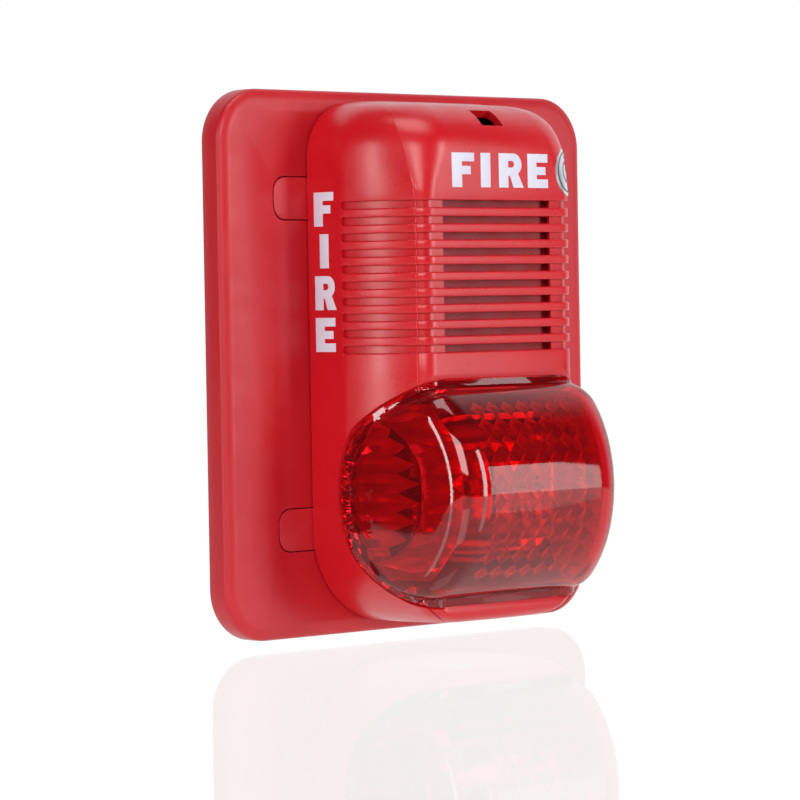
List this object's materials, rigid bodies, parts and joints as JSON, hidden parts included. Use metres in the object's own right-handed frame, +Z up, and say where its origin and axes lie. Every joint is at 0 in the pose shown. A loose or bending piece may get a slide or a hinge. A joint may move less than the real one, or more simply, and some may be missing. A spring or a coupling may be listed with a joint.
{
  "type": "horn strobe",
  "caption": "Wall-mounted fire alarm sounder beacon: plug-in head with slotted sounder grille and ribbed red lens, mounting base and rectangular trim plate.",
  "frame": {"origin": "centre of the wall-box screw pattern, on the wall plane behind the mounting base", "axes": "+Z up, +X to the right seen from the front, +Y into the wall; the front faces -Y"},
  "size_m": [0.138, 0.061, 0.15],
  "materials": {
    "plate_plastic": "moulded red, fine satin grain",
    "terminal_plastic": "moulded green",
    "screw_steel": "zinc plated",
    "contact_brass": "formed strip",
    "latch_plastic": "moulded black",
    "spring_steel": "drawn wire",
    "cover_plastic": "moulded red, semi-gloss",
    "baffle_plastic": "moulded dark red",
    "label_foil": "printed silver foil",
    "lens_plastic": "clear ruby polycarbonate, prismatic inside",
    "reflector_coating": "metallised",
    "tube_glass": "clear",
    "bushing_rubber": "silicone",
    "lead_metal": "tinned wire",
    "housing_plastic": "moulded red",
    "board_laminate": "solder resist",
    "capacitor_sleeve": "shrunk sleeve",
    "coil_tape": "winding tape",
    "coil_ferrite": "ferrite",
    "chip_plastic": "moulding compound",
    "chip_ceramic": "fired",
    "selector_plastic": "moulded blue",
    "slider_plastic": "moulded white",
    "sounder_plastic": "moulded black",
    "disc_brass": "rolled",
    "disc_ceramic": "silvered ceramic",
    "lead_sleeve": "insulated wire"
  },
  "bodies": {
    "base": {"trim_plate": "plate_plastic", "mounting_base": "plate_plastic", "terminal_block": "terminal_plastic", "terminal_screws": "screw_steel", "base_contacts": "contact_brass", "latch_spring": "spring_steel"},
    "latch": {"release_latch": "latch_plastic"},
    "head": {"head_cover": "cover_plastic", "grille_baffle": "baffle_plastic", "round_label": "label_foil", "lens": "lens_plastic", "reflector": "reflector_coating", "flash_tube": "tube_glass", "tube_bushings": "bushing_rubber", "tube_leads": "lead_metal", "trigger_band": "lead_metal", "rear_housing": "housing_plastic", "contact_blades": "contact_brass", "cover_screws": "screw_steel", "circuit_board": "board_laminate", "board_screws": "screw_steel", "flash_capacitor": "capacitor_sleeve", "trigger_transformer": "coil_tape", "power_inductor": "coil_ferrite", "control_chips": "chip_plastic", "chip_components": "chip_ceramic", "selector_block": "selector_plastic", "sounder_housing": "sounder_plastic", "sounder_cap": "sounder_plastic", "piezo_disc": "disc_brass", "piezo_ceramic": "disc_ceramic", "sounder_leads": "lead_sleeve"},
    "slider_1": {"selector_slider_1": "slider_plastic"},
    "slider_2": {"selector_slider_2": "slider_plastic"},
    "slider_3": {"selector_slider_3": "slider_plastic"},
    "slider_4": {"selector_slider_4": "slider_plastic"}
  },
  "joints": [
    {"name": "head_tilt", "type": "hinge", "parent": "base", "child": "head", "pos_m": [0, -0.008, -0.0715], "axis": [1, 0, 0], "range_deg": [0, 20]},
    {"name": "latch_press", "type": "slide", "parent": "base", "child": "latch", "axis": [0, 0, -1], "range_m": [0, 0.0022], "stiffness_N_per_m": 900, "springref_m": -0.001, "deforming": ["latch_spring"]},
    {"name": "selector_1", "type": "slide", "parent": "head", "child": "slider_1", "axis": [0, 0, 1], "range_m": [0, 0.002]},
    {"name": "selector_2", "type": "slide", "parent": "head", "child": "slider_2", "axis": [0, 0, 1], "range_m": [0, 0.002]},
    {"name": "selector_3", "type": "slide", "parent": "head", "child": "slider_3", "axis": [0, 0, 1], "range_m": [0, 0.002]},
    {"name": "selector_4", "type": "slide", "parent": "head", "child": "slider_4", "axis": [0, 0, 1], "range_m": [0, 0.002]}
  ]
}
